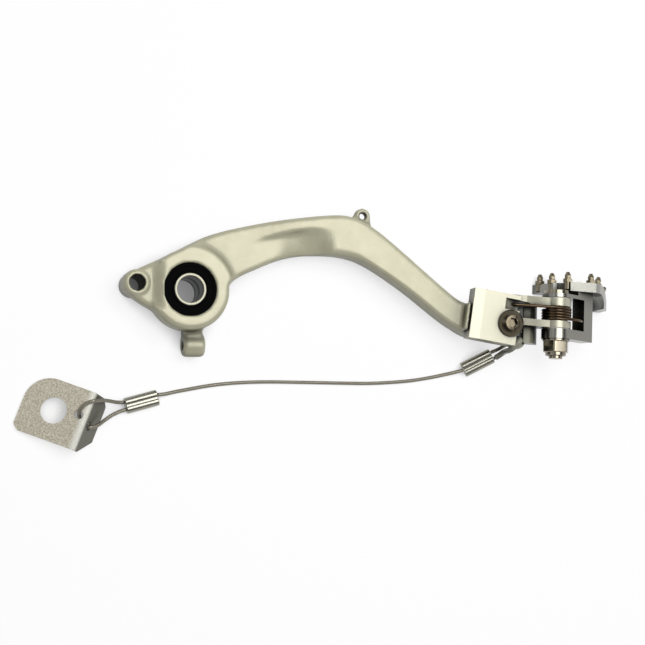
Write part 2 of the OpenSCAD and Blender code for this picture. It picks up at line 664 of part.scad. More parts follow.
rear_loop_route = [
    [-33.8, -62.3, -9.5], [-38, -62.3, -8.4], [-43, -61.8, -5.2], [-47, -61.6, -2],
    [-50.1, -62, 1.2], [-53.7, -62.4, 3.2], [-56.5, -63.1, 2.9], [-58.7, -64.5, 2.4],
    [-60.5, -66.7, 1.8], [-61.1, -68.7, 1], [-60.8, -70.1, -0.7], [-60.1, -71.7, -2.6],
    [-58.5, -73.7, -4.1], [-56.5, -75.5, -3.9], [-54.1, -76.6, -3.1], [-49.5, -75.2, -4.8],
    [-45.6, -72.6, -7], [-41, -69.6, -8.6], [-36.8, -67.6, -9.3], [-32.8, -66.3, -9.5]];
module safety_rope() { color("#9a968a") tube(smooth(rope_route, 2), rope_d / 2, 8); }
module front_loop_rope() {
    color("#9a968a") tube(smooth(front_loop_route, 2), rope_d / 2, 8);
}
sleeve_path = [for (i = [1 : 21]) smooth(front_loop_route, 2)[i]];
module front_loop_sleeve() {
    color("#b7b49f") hollow_tube(sleeve_path, sleeve_d / 2, rope_d / 2 + 0.06, 8);
}
module rear_loop_rope() { color("#9a968a") tube(smooth(rear_loop_route, 2), rope_d / 2, 8); }

// Double-barrel crimp ferrule: two round lobes with a waist between them
module ferrule() {
    lobe = ferrule_w / 2 - ferrule_t / 2;
    rotate([90, 0, 90]) translate([0, 0, -ferrule_l / 2]) linear_extrude(ferrule_l) {
        for (s = [-1, 1]) translate([s * lobe, 0]) circle(d = ferrule_t);
        square([2 * lobe, ferrule_t * 0.8], center = true);
    }
}
module front_ferrule() {
    color("#b4b2a8") translate([177.8, -38.5, -6.7]) rotate([0, 0, 27]) rotate([0, -14, 0])
        ferrule();
}
module rear_ferrule() {
    color("#b4b2a8") translate([-23.9, -61.9, table_z + ferrule_t / 2]) rotate([0, 0, 15])
        ferrule();
}

// Anchor tab: sheet steel with one bend, resting on its far end and its flange
tab_bend = 72;
tab_h = tab_l * sin(tab_tilt);
tab_flange = tab_h / sin(tab_bend - tab_tilt);
module tab_plate() {
    difference() {
        union() {
            translate([-tab_l + tab_corner_r, -tab_w / 2]) square([tab_l - tab_corner_r, tab_w]);
            translate([-tab_l, -tab_w / 2 + 3]) square([tab_l, tab_w - 3 - tab_corner_r]);
            translate([-tab_l + tab_corner_r, tab_w / 2 - tab_corner_r]) circle(r = tab_corner_r);
            polygon([[-tab_l, -tab_w / 2 + 3], [-tab_l + 3, -tab_w / 2],
                     [-tab_l + 16, -tab_w / 2], [-tab_l + 16, 0], [-tab_l, 0]]);
        }
        translate([-17.2, 0]) circle(d = tab_hole_d);
        translate([-3, 2.5]) circle(d = tab_rope_hole_d);
    }
}
module tab_flange_plate() {
    difference() {
        polygon([[-0.2, -tab_w / 2], [3, -tab_w / 2], [tab_flange, -tab_w / 2 + 9],
                 [tab_flange, tab_w / 2 - 4], [tab_flange - 5, tab_w / 2], [-0.2, tab_w / 2]]);
        translate([5.2, -1.2]) circle(d = tab_rope_hole_d);
    }
}
module anchor_tab() {
    color("#a9a8a2") translate([-59, -73.2, table_z + tab_h]) rotate([0, 0, -21.8])
        rotate([0, -tab_tilt, 0]) {
            linear_extrude(tab_t) tab_plate();
            rotate([0, tab_bend, 0]) linear_extrude(tab_t) tab_flange_plate();
            translate([0, tab_w / 2, 0]) rotate([90, 0, 0]) linear_extrude(tab_w)
                polygon([[-0.5, 0], [0, 0], [tab_t * sin(tab_bend), tab_t * cos(tab_bend)],
                         [tab_t * 0.6, tab_t * 0.92], [0, tab_t], [-0.5, tab_t]]);
        }
}

pedal_arm();
outboard_outer_ring();
inboard_outer_ring();
outboard_balls();
inboard_balls();
outboard_ball_cage();
inboard_ball_cage();
outboard_inner_ring();
inboard_inner_ring();
bearing_spacer();
outboard_collar();
inboard_collar();
outboard_dust_seal();
inboard_dust_seal();
toe_bracket();
bracket_screw();
hinge_bolt();
hinge_nut();
nut_nylon_ring();
nut_washer();
thrust_washers();
spring_bush();
torsion_spring();
folding_tip();
grip_studs();
safety_rope();
front_loop_rope();
front_loop_sleeve();
rear_loop_rope();
front_ferrule();
rear_ferrule();
anchor_tab();
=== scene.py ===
import json
import math

import bmesh
import bpy
from mathutils import Matrix, Quaternion, Vector
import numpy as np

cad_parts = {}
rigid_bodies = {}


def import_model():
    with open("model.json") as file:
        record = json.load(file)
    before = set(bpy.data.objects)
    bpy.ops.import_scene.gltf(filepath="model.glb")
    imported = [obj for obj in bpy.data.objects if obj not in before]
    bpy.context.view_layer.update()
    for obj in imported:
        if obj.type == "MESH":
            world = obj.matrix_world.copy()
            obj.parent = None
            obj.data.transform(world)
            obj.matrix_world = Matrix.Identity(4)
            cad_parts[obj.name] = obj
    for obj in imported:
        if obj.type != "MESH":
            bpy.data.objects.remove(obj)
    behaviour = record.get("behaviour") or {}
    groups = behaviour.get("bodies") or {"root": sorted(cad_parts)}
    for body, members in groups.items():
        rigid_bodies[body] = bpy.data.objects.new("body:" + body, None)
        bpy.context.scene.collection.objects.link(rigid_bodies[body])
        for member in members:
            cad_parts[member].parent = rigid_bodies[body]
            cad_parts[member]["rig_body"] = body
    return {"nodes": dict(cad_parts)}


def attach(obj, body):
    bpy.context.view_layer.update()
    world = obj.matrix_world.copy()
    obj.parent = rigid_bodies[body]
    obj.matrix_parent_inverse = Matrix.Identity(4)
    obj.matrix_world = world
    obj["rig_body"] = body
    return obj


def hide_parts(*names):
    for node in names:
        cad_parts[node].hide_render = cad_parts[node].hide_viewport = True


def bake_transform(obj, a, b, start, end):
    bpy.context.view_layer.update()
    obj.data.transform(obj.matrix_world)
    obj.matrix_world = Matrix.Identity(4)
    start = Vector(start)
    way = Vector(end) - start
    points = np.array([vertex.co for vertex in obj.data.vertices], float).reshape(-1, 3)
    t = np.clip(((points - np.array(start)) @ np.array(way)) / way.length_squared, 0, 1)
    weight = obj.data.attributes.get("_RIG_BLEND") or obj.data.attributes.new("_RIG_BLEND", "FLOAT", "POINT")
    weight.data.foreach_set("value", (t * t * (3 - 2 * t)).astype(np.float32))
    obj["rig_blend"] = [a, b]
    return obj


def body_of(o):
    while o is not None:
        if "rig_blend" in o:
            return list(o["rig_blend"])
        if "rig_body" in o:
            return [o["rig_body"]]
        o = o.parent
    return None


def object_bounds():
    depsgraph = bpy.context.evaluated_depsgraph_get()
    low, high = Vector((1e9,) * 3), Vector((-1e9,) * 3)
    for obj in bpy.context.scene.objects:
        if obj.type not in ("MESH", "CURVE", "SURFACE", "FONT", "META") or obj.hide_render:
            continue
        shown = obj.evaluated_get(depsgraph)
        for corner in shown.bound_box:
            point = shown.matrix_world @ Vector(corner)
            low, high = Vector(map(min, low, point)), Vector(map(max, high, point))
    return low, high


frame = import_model()
cad_low, cad_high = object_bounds()
MM = 0.001

# The photographer's camera: a long lens above the pedal, leaning over its hub end,
# so that the lower and left walls of every piece show.
camera_data = bpy.data.cameras.new("studio_camera")
camera_data.sensor_width = 36.0
camera_data.lens = 111.63
camera_data.clip_start, camera_data.clip_end = 0.05, 20.0
camera = bpy.data.objects.new("studio_camera", camera_data)
camera.location = (-0.25754, -0.12677, 1.09371)
camera.rotation_mode = "QUATERNION"
camera.rotation_quaternion = Quaternion((0.31022, -0.95067, 0.0), math.radians(18))
bpy.context.scene.collection.objects.link(camera)
bpy.context.scene.camera = camera
bpy.context.scene.view_settings.view_transform = "Standard"


def srgb(hex_colour):
    """A written sRGB colour as linear red, green, blue and alpha."""
    parts = [int(hex_colour[i : i + 2], 16) / 255 for i in (0, 2, 4)]
    return [c / 12.92 if c <= 0.04045 else ((c + 0.055) / 1.055) ** 2.4 for c in parts] + [1.0]


def add_node(material, kind, settings=None, values=None, links=None):
    """One shader node with its settings, socket values and incoming links."""
    node = material.node_tree.nodes.new(kind)
    for name, value in (settings or {}).items():
        setattr(node, name, value)
    for name, value in (values or {}).items():
        node.inputs[name].default_value = value
    for name, source in (links or {}).items():
        material.node_tree.links.new(source, node.inputs[name])
    return node


def new_material(name):
    """An empty node material, with its output node."""
    material = bpy.data.materials.new(name)
    material.use_nodes = True
    material.node_tree.nodes.clear()
    return material, add_node(material, "ShaderNodeOutputMaterial")


def in_scene(name, data):
    """A new object of the scene."""
    thing = bpy.data.objects.new(name, data)
    bpy.context.scene.collection.objects.link(thing)
    return thing


# The studio: matt white board that runs up into a round wall. It is mid grey to the light
# on the pedal and white to the eye, so it photographs white, keeps the soft shadow of each
# piece, and leaves the walls of the metal dark.
board_reach, wall_bend, wall_top = 3.2, 0.8, 2.6
bend_steps, round_steps = 8, 72
contact_reach = 0.02
paper, paper_out = new_material("matt_white_board")
paper_diffuse = add_node(paper, "ShaderNodeBsdfDiffuse", values={"Color": srgb("7C7C7C")})
seen = add_node(paper, "ShaderNodeLightPath")
seen_or_mirrored = add_node(paper, "ShaderNodeMath", {"operation": "MAXIMUM"}, {}, {
    0: seen.outputs["Is Camera Ray"], 1: seen.outputs["Is Glossy Ray"]})
seen_at_all = add_node(paper, "ShaderNodeMath", {"operation": "MAXIMUM"}, {}, {
    0: seen_or_mirrored.outputs[0], 1: seen.outputs["Is Transmission Ray"]})
# Painted shadow: where a piece stands on the board or closes it in, ambient occlusion dims the board's glow
open_sky = add_node(paper, "ShaderNodeAmbientOcclusion", {"samples": 8}, {
    "Distance": contact_reach})
painted_shadow_share = add_node(paper, "ShaderNodeMapRange", values={"From Max": 0.62}, links={
    "Value": open_sky.outputs["AO"]})
lift = add_node(paper, "ShaderNodeMath", {"operation": "MULTIPLY"}, {1: 0.86}, {
    0: seen_at_all.outputs[0]})
shaded_lift = add_node(paper, "ShaderNodeMath", {"operation": "MULTIPLY"}, {}, {
    0: lift.outputs[0], 1: painted_shadow_share.outputs["Result"]})
paper_glow = add_node(paper, "ShaderNodeEmission", links={"Strength": shaded_lift.outputs[0]})
paper_sum = add_node(paper, "ShaderNodeAddShader")
paper.node_tree.links.new(paper_diffuse.outputs[0], paper_sum.inputs[0])
paper.node_tree.links.new(paper_glow.outputs[0], paper_sum.inputs[1])
paper.node_tree.links.new(paper_sum.outputs[0], paper_out.inputs["Surface"])
board_mesh = bpy.data.meshes.new("white_board")
shape = bmesh.new()
outline = [shape.verts.new((0, 0, 0)), shape.verts.new((board_reach, 0, 0))]
for i in range(1, bend_steps + 1):
    lift_angle = math.radians(90 * i / bend_steps)
    outline.append(shape.verts.new((board_reach + wall_bend * math.sin(lift_angle), 0,
                                    wall_bend * (1 - math.cos(lift_angle)))))
outline.append(shape.verts.new((board_reach + wall_bend, 0, wall_top)))
profile_edges = [shape.edges.new(pair) for pair in zip(outline, outline[1:])]
bmesh.ops.spin(shape, geom=outline + profile_edges, cent=(0, 0, 0), axis=(0, 0, 1),
               angle=2 * math.pi, steps=round_steps, use_merge=True)
bmesh.ops.remove_doubles(shape, verts=shape.verts, dist=1e-5)
board_middle_x, board_gap = 0.08, 0.00002
bmesh.ops.translate(shape, vec=(board_middle_x, 0, cad_low.z - board_gap), verts=shape.verts)
shape.to_mesh(board_mesh)
shape.free()
board_mesh.shade_smooth()
board_mesh.materials.append(paper)
board = in_scene("white_board", board_mesh)

# The air of the studio: a faint cool light from all round, so that no hollow of the
# pedal is quite black.
studio = bpy.data.worlds.new("studio_air")
bpy.context.scene.world = studio
studio.use_nodes = True
studio.node_tree.nodes.clear()
air_grey = add_node(studio, "ShaderNodeBackground", values={
    "Strength": 0.1, "Color": srgb("F9FCFF")})
air_out = add_node(studio, "ShaderNodeOutputWorld")
studio.node_tree.links.new(air_grey.outputs[0], air_out.inputs["Surface"])

# Soft boxes: place, size and power in watts. The large one hangs nearly over the pedal,
# a weak one lights the hub end, and a small one puts a glint on the tip.
lit_place = Vector((0.09, -0.01, 0.0))
soft_boxes = [
    ("overhead_box", (0.26, 0.20, 1.08), 0.70, 7.8),
    ("hub_box", (-0.60, 0.30, 0.85), 0.40, 0.6),
    ("toe_box", (0.62, 0.09, 1.05), 0.26, 0.5),
]
for box_name, place, size, power in soft_boxes:
    lamp_data = bpy.data.lights.new(box_name, "AREA")
    lamp_data.size, lamp_data.energy = size, power
    lamp = in_scene(box_name, lamp_data)
    lamp.location = place
    lamp.rotation_mode = "QUATERNION"
    lamp.rotation_quaternion = (lit_place - Vector(place)).to_track_quat("-Z", "Y")


# Safety cable: stranded steel rope that keeps the tip on the bike if it breaks off.
# A sleeved loop passes the bracket's hole, a bare one the tab, and a double-barrel
# aluminium ferrule is crimped on at each end.
rope_d, sleeve_d = 2.2 * MM, 3.4 * MM
lay_length = 9 * MM
strands, strand_points, strand_depth = 6, 4, 0.14
route_steps = 10


def smooth_route(points, steps):
    """The points of a smooth line through a cord's places, in metres."""
    out = []
    for i in range(len(points) - 1):
        a, b = Vector(points[max(0, i - 1)]), Vector(points[i])
        c, d = Vector(points[i + 1]), Vector(points[min(len(points) - 1, i + 2)])
        for k in range(steps):
            t = k / steps
            out.append(0.5 * (2 * b + (c - a) * t + (2 * a - 5 * b + 4 * c - d) * t * t
                              + (3 * b - a - 3 * c + d) * t ** 3) * MM)
    return out + [Vector(points[-1]) * MM]


def evaluated_mesh(thing):
    """The thing's shape, with its curve swept or its modifiers applied, as a new mesh."""
    bpy.context.view_layer.update()
    return bpy.data.meshes.new_from_object(
        thing.evaluated_get(bpy.context.evaluated_depsgraph_get()))


def swept(name, route, section, twist_length=None):
    """A closed section drawn along a route, turned once in each twist length."""
    profile_data = bpy.data.curves.new(name + "_section", "CURVE")
    profile_data.dimensions = "2D"
    profile_spline = profile_data.splines.new("POLY")
    profile_spline.points.add(len(section) - 1)
    for point, (x, y) in zip(profile_spline.points, section):
        point.co = (x, y, 0, 1)
    profile_spline.use_cyclic_u = True
    profile = in_scene(name + "_section", profile_data)
    line_data = bpy.data.curves.new(name, "CURVE")
    line_data.dimensions = "3D"
    line_data.twist_mode = "MINIMUM"
    line_data.bevel_mode = "OBJECT"
    line_data.bevel_object = profile
    line_data.use_fill_caps = True
    spline = line_data.splines.new("POLY")
    spline.points.add(len(route) - 1)
    run = 0.0
    for i, point in enumerate(spline.points):
        if i:
            run += (route[i] - route[i - 1]).length
        point.co = (*route[i], 1)
        point.tilt = 2 * math.pi * run / twist_length if twist_length else 0.0
    line = in_scene(name, line_data)
    mesh = evaluated_mesh(line)
    bpy.data.objects.remove(line)
    bpy.data.objects.remove(profile)
    cleaned = bmesh.new()
    cleaned.from_mesh(mesh)
    bmesh.ops.remove_doubles(cleaned, verts=cleaned.verts, dist=1e-6)
    bmesh.ops.recalc_face_normals(cleaned, faces=cleaned.faces)
    cleaned.to_mesh(mesh)
    cleaned.free()
    mesh.shade_smooth()
    return in_scene(name, mesh)


def round_section(radius, sides=16):
    """The points of a circle, seen from the cord's end."""
    angles = [2 * math.pi * k / sides for k in range(sides)]
    return [(radius * math.cos(angle), radius * math.sin(angle)) for angle in angles]


def strand_section(radius):
    """Six strands side by side, seen from the rope's end."""
    section = []
    for k in range(strands * strand_points):
        angle = 2 * math.pi * k / (strands * strand_points)
        bulge = abs(math.cos(strands * angle / 2))
        reach = radius * (1 - strand_depth + strand_depth * bulge)
        section.append((reach * math.cos(angle), reach * math.sin(angle)))
    return section


def worn_metal(name, colour, metallic, roughness, grain_mm=0.0, grain_height=0.0, mottle=None,
               painted_shade=None):
    """A metal or coated finish; grain is the size of its blasting or casting marks, and
    the last argument gives the colour and reach of a painted shade that darkens the hollows and low walls."""
    material, out = new_material(name)
    surface = add_node(material, "ShaderNodeBsdfPrincipled", values={
        "Base Color": srgb(colour), "Metallic": metallic, "Roughness": roughness})
    place = add_node(material, "ShaderNodeTexCoord")
    if grain_mm:
        grain = add_node(material, "ShaderNodeTexNoise", values={
            "Scale": 1 / (grain_mm * MM), "Detail": 2.0}, links={"Vector": place.outputs["Object"]})
        bump = add_node(material, "ShaderNodeBump", values={
            "Strength": grain_height, "Distance": 0.2 * MM}, links={"Height": grain.outputs["Fac"]})
        material.node_tree.links.new(bump.outputs["Normal"], surface.inputs["Normal"])
    skin_colour = None
    if mottle:
        other_colour, patch_mm, share = mottle
        patch = add_node(material, "ShaderNodeTexNoise", values={
            "Scale": 1 / (patch_mm * MM), "Detail": 3.0}, links={"Vector": place.outputs["Object"]})
        steps = add_node(material, "ShaderNodeMapRange", values={
            "From Min": 0.5 - share / 2, "From Max": 0.5 + share / 2}, links={
            "Value": patch.outputs["Fac"]})
        blend = add_node(material, "ShaderNodeMix", {"data_type": "RGBA"}, links={
            0: steps.outputs["Result"]})
        blend.inputs[6].default_value = srgb(colour)
        blend.inputs[7].default_value = srgb(other_colour)
        skin_colour = blend.outputs[2]
        material.node_tree.links.new(skin_colour, surface.inputs["Base Color"])
    # Painted shade: where ambient occlusion finds the surface closed in, the base colour is mixed towards
    # the shade colour
    if painted_shade:
        shade_colour, reach_mm = painted_shade
        openness = add_node(material, "ShaderNodeAmbientOcclusion", {"samples": 8}, {
            "Distance": reach_mm * MM})
        open_share = add_node(material, "ShaderNodeMapRange", values={
            "From Min": 0.5, "From Max": 1.0}, links={"Value": openness.outputs["AO"]})
        shaded = add_node(material, "ShaderNodeMix", {"data_type": "RGBA"}, links={
            0: open_share.outputs["Result"]})
        shaded.inputs[6].default_value = srgb(shade_colour)
        shaded.inputs[7].default_value = srgb(colour)
        if skin_colour:
            material.node_tree.links.new(skin_colour, shaded.inputs[7])
        material.node_tree.links.new(shaded.outputs[2], surface.inputs["Base Color"])
    material.node_tree.links.new(surface.outputs[0], out.inputs["Surface"])
    return material


# Grey and half dull, so that only the strands' crests catch the light
rope_steel = worn_metal("galvanised_rope_wire", "8F8A7C", 0.75, 0.38)
front_loop_places = [
    (187.3, -36, -4.2), (189.4, -34.8, -3), (190.7, -33.5, -0.4), (191.2, -32.6, 3),
    (191.1, -32.4, 7), (191.1, -32.3, 10.8), (191.9, -31.3, 14.4), (194, -28.9, 16.4),
    (195.7, -27.2, 16.2), (196.4, -26.4, 13.8), (196.5, -26.2, 10.6), (196.9, -25.9, 7),
    (196.9, -26, 3.8), (195.2, -27.2, 0.6), (192.4, -29, -1.6), (189.4, -30.7, -2.8),
    (185.5, -32.4, -4.3)]
rope_places = [
    (-14.9, -58, -9.5), (-10, -57.4, -10.2), (-4, -56.1, -10.8), (4, -54.6, -10.9),
    (14, -52.8, -10.9), (24, -51.5, -10.9), (36, -50.6, -10.9), (50, -50.2, -10.9),
    (66, -50.3, -10.9), (82, -50.5, -10.9), (98, -50.7, -10.9), (112, -50.7, -10.9),
    (126, -50, -10.9), (138, -48.9, -10.9), (150, -47, -10.9), (158, -45.4, -10.6),
    (164, -44.1, -10), (169.2, -42.8, -9.2)]
rear_loop_places = [
    (-33.8, -62.3, -9.5), (-38, -62.3, -8.4), (-43, -61.8, -5.2), (-47, -61.6, -2),
    (-50.1, -62, 1.2), (-53.7, -62.4, 3.2), (-56.5, -63.1, 2.9), (-58.7, -64.5, 2.4),
    (-60.5, -66.7, 1.8), (-61.1, -68.7, 1), (-60.8, -70.1, -0.7), (-60.1, -71.7, -2.6),
    (-58.5, -73.7, -4.1), (-56.5, -75.5, -3.9), (-54.1, -76.6, -3.1), (-49.5, -75.2, -4.8),
    (-45.6, -72.6, -7), (-41, -69.6, -8.6), (-36.8, -67.6, -9.3), (-32.8, -66.3, -9.5)]


weld_gap = 2e-6


def dress(node, name, material, edge_mm=0.25, segments=2, crease=38, added=None):
    """A copy of a machined solid with its triangles merged and its edges broken; crease is
    the angle in degrees from which an edge is a real corner, added a form joined to it."""
    mesh = frame["nodes"][node].data.copy()
    mesh.name = name
    solid = bmesh.new()
    solid.from_mesh(mesh)
    bmesh.ops.remove_doubles(solid, verts=solid.verts, dist=weld_gap)
    bmesh.ops.dissolve_limit(solid, angle_limit=math.radians(0.6), verts=solid.verts,
                             edges=solid.edges)
    solid.to_mesh(mesh)
    solid.free()
    piece = in_scene(name, mesh)
    if added:
        joined = piece.modifiers.new("joined_metal", "BOOLEAN")
        joined.operation = "UNION"
        joined.solver = "EXACT"
        joined.object = added
        mesh = evaluated_mesh(piece)
        piece.modifiers.remove(joined)
        piece.data = mesh
        bpy.data.objects.remove(added)
    mesh.materials.clear()
    mesh.materials.append(material)
    mesh.shade_smooth()
    mesh.set_sharp_from_angle(angle=math.radians(crease))
    if edge_mm:
        broken = piece.modifiers.new("broken_edges", "BEVEL")
        broken.width = edge_mm * MM
        broken.segments = segments
        broken.limit_method = "ANGLE"
        broken.angle_limit = math.radians(crease)
        flats = piece.modifiers.new("flat_faces", "WEIGHTED_NORMAL")
        flats.keep_sharp = True
    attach(piece, body_of(frame["nodes"][node])[0])
    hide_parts(node)
    return piece


# Crimped ferrules: two short lengths of double-barrel aluminium extrusion, tumbled after
# the cut, each pressed round the rope and the end of its loop.
# Nearly a mirror, so that each barrel shows one bright line between dark ones
ferrule_metal = worn_metal("tumbled_ferrule_aluminium", "9D9B8F", 0.95, 0.3, 1.5, 0.02)
front_ferrule = dress("front_ferrule", "front_crimp_ferrule", ferrule_metal, 0.45, 3)
rear_ferrule = dress("rear_ferrule", "rear_crimp_ferrule", ferrule_metal, 0.45, 3)

cable_pieces = {}
for node, name, places in (
        ("safety_rope", "safety_rope_wire", rope_places),
        ("front_loop_rope", "front_loop_wire", front_loop_places),
        ("rear_loop_rope", "rear_loop_wire", rear_loop_places)):
    route = smooth_route(places, route_steps)
    wire = swept(name, route, strand_section(rope_d / 2), lay_length)
    wire.data.materials.append(rope_steel)
    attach(wire, "pedal")
    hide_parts(node)
    cable_pieces[node] = (wire, route)

# Sleeve: clear plastic tube, shrunk over the front loop where it passes the bracket's
# hole, so that the steel doesn't fret the aluminium.
# Yellowed and glossy, with a soft highlight along it
sleeve_plastic = worn_metal("clear_shrink_sleeve", "A6A493", 0.0, 0.22)
sleeve_first, sleeve_last = 5, 106
sleeve_route = cable_pieces["front_loop_rope"][1][sleeve_first:sleeve_last]
sleeve = swept("front_loop_tube", sleeve_route, round_section(sleeve_d / 2))
sleeve.data.materials.append(sleeve_plastic)
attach(sleeve, "pedal")
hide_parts("front_loop_sleeve")

# Anchor tab: steel sheet, sheared, punched, folded once and zinc-plated. The rope's rear
# loop passes both of its small holes; a frame bolt goes through the large one.
# A crystalline plating: pale, with a fine grain and darker specks
zinc_plate = worn_metal("zinc_plated_sheet", "F2ECD8", 0.3, 0.36, 0.6, 0.3, ("C4BAA4", 0.9, 0.3))
# Along the fold a painted highlight makes the plating bright, and painted shade makes the flange below it
# dark
fold_place = Vector((-59.0, -73.2, 0.12)) * MM
fold_way = Vector((0.8725, -0.3490, 0.3420))
fold_at = fold_place.dot(fold_way)
zinc_nodes = zinc_plate.node_tree.nodes
zinc_surface = zinc_nodes["Principled BSDF"]
past_fold = add_node(zinc_plate, "ShaderNodeVectorMath", {"operation": "DOT_PRODUCT"}, {
    1: fold_way}, {0: zinc_nodes["Texture Coordinate"].outputs["Object"]})
zinc_colour = zinc_surface.inputs["Base Color"].links[0].from_socket
# Painted highlight just before the fold, then painted shade on the flange past it
for start_mm, end_mm, painted_fold_tone in ((-2.4, -0.6, "FFFDF0"), (1.6, 2.3, "6E6C60")):
    reached = add_node(zinc_plate, "ShaderNodeMapRange", values={
        "From Min": fold_at + start_mm * MM, "From Max": fold_at + end_mm * MM}, links={
        "Value": past_fold.outputs["Value"]})
    fold_highlight_and_shade = add_node(zinc_plate, "ShaderNodeMix", {"data_type": "RGBA"}, {}, {
        0: reached.outputs["Result"], 6: zinc_colour})
    fold_highlight_and_shade.inputs[7].default_value = srgb(painted_fold_tone)
    zinc_colour = fold_highlight_and_shade.outputs[2]
zinc_plate.node_tree.links.new(zinc_colour, zinc_surface.inputs["Base Color"])
tab = dress("anchor_tab", "folded_anchor_tab", zinc_plate, 0.5, 3)

wire, route = cable_pieces["front_loop_rope"]
wire, route = cable_pieces["safety_rope"]
wire, route = cable_pieces["rear_loop_rope"]

# Pedal arm: billet aluminium, machined, tumbled until its edges are round, then
# bead-blasted and clear anodised. It turns on the hub's bearings.
arm_voxel = 0.75 * MM
face_z, low_z, hub_face_r = 12 * MM, 8 * MM, 15.7 * MM
lug_place, lug_boss_r = Vector((-29.6, 3.6, 0)) * MM, 7.6 * MM
eye_place = Vector((103.8, 45, 0)) * MM
shoulder_place = Vector((176, -16, 0)) * MM


def remeshed(piece, voxel):
    """The piece's shape as an even skin of small faces."""
    skin = piece.modifiers.new("even_skin", "REMESH")
    skin.mode = "VOXEL"
    skin.voxel_size = voxel
    mesh = evaluated_mesh(piece)
    piece.modifiers.remove(skin)
    piece.data = mesh


def eased(t):
    """A smooth rise from 0 to 1."""
    t = min(1.0, max(0.0, t))
    return t * t * (3 - 2 * t)


def wall_y(x, wall):
    """How far up a straight wall of the hub's left end runs at x, seen from outboard."""
    wall_x, wall_start_y, slope = wall
    return wall_start_y + slope * (x - wall_x)


def smoothed(form, verts, passes):
    """The verts drawn towards their neighbours, as tumbling rounds an edge."""
    for i in range(passes):
        bmesh.ops.smooth_vert(form, verts=verts, factor=0.5, use_axis_x=True, use_axis_y=True,
                              use_axis_z=True)


arm = in_scene("machined_pedal_arm", frame["nodes"]["pedal_arm"].data.copy())
merged = bmesh.new()
merged.from_mesh(arm.data)
bmesh.ops.remove_doubles(merged, verts=merged.verts, dist=weld_gap)
merged.to_mesh(arm.data)
merged.free()
remeshed(arm, arm_voxel)

# The saddle between the push rod lug and the hub's face is one long hollow fillet
saddle_left, saddle_right, saddle_floor = -26 * MM, -9 * MM, 6.5 * MM
saddle_start, saddle_end = -21.5 * MM, -14.0 * MM
upper_wall, upper_rim = (-36.4 * MM, 7.6 * MM, 0.493), 1.6 * MM
lower_wall, lower_rim = (-37.0 * MM, 0.4 * MM, -0.672), 2.2 * MM
lug_gap = 0.4 * MM
form = bmesh.new()
form.from_mesh(arm.data)
for v in form.verts:
    x, y, z = v.co
    inside = wall_y(x, upper_wall) - y > upper_rim and y - wall_y(x, lower_wall) > lower_rim
    on_top = saddle_left < x < saddle_right and z > saddle_floor
    off_lug = (Vector((x, y, 0)) - lug_place).length > lug_boss_r + lug_gap
    if inside and on_top and off_lug and math.hypot(x, y) > hub_face_r:
        along = (x - saddle_start) / (saddle_end - saddle_start)
        v.co.z = low_z + (face_z - low_z) * eased(along)
form.to_mesh(arm.data)
form.free()
remeshed(arm, arm_voxel)

# All edges are rounded a little, and those of the broad surfaces more
fine_spots = [(lug_place, 9.2 * MM), (eye_place, 7.5 * MM), (shoulder_place, 16 * MM)]
form = bmesh.new()
form.from_mesh(arm.data)
broad = [v for v in form.verts if all(
    (Vector((v.co.x, v.co.y, 0)) - spot).length > reach for spot, reach in fine_spots)]
smoothed(form, form.verts, 3)
smoothed(form, broad, 7)
form.to_mesh(arm.data)
form.free()
arm.data.shade_smooth()
# A warm satin grey: fine even grain and faint clouds, with painted shade darkening the hollows and low walls
blasted_aluminium = worn_metal(
    "bead_blasted_anodised_aluminium", "D8D5B9", 0.2, 0.42, 0.9, 0.42,
    mottle=("CDC9AC", 9.0, 0.5), painted_shade=("2E2F27", 25.0))
arm.data.materials.clear()
arm.data.materials.append(blasted_aluminium)
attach(arm, body_of(frame["nodes"]["pedal_arm"])[0])
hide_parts("pedal_arm")

# Hub: two sealed ball bearings pressed in from each side, a spacer between them, ground
# end collars on the pivot bolt and a black rubber seal on each face.
# Grey ground steel, and the dull gold of pressed brass between the balls
bearing_steel = worn_metal("ground_bearing_steel", "8C8E90", 0.9, 0.35)
cage_brass = worn_metal("pressed_cage_brass", "B08D4F", 1.0, 0.35)
for side in ("outboard", "inboard"):
    for part, finish in (("outer_ring", bearing_steel), ("inner_ring", bearing_steel),
                         ("balls", bearing_steel), ("ball_cage", cage_brass)):
        inner_part = frame["nodes"][f"{side}_{part}"]
        inner_part.data.materials.clear()
        inner_part.data.materials.append(finish)
# Pale and satin at the end face, with painted shade darkening it down the bore
ground_steel = worn_metal("ground_collar_steel", "A9A694", 0.6, 0.42, painted_shade=("141512", 14.0))
for node in ("outboard_collar", "inboard_collar", "bearing_spacer"):
    dress(node, "ground_" + node, ground_steel, 0.15)
# Black that hardly shines, the darkest ring of the pedal
seal_rubber = worn_metal("moulded_nitrile_rubber", "030303", 0.0, 0.75)
rubber_surface = seal_rubber.node_tree.nodes["Principled BSDF"]
rubber_surface.inputs["Specular IOR Level"].default_value = 0.06
for side in ("outboard", "inboard"):
    dress(f"{side}_dust_seal", f"{side}_rubber_seal", seal_rubber, 0.2)

# Toe bracket: a separate billet piece with two ears for the tip's hinge. It sits over the
# arm's end against a shoulder, held by one button-head screw.
# Satin and nearly white on top, with painted shade darkening the walls
satin_aluminium = worn_metal("bright_satin_aluminium", "CFCCB6", 0.3, 0.34, 0.7, 0.06,
                             painted_shade=("2C2D28", 40.0))
hinge_turn = Matrix.Rotation(math.radians(-3), 4, "Z")
hinge_place = Matrix.Translation((0.2207, -0.011, 0.013)) @ hinge_turn
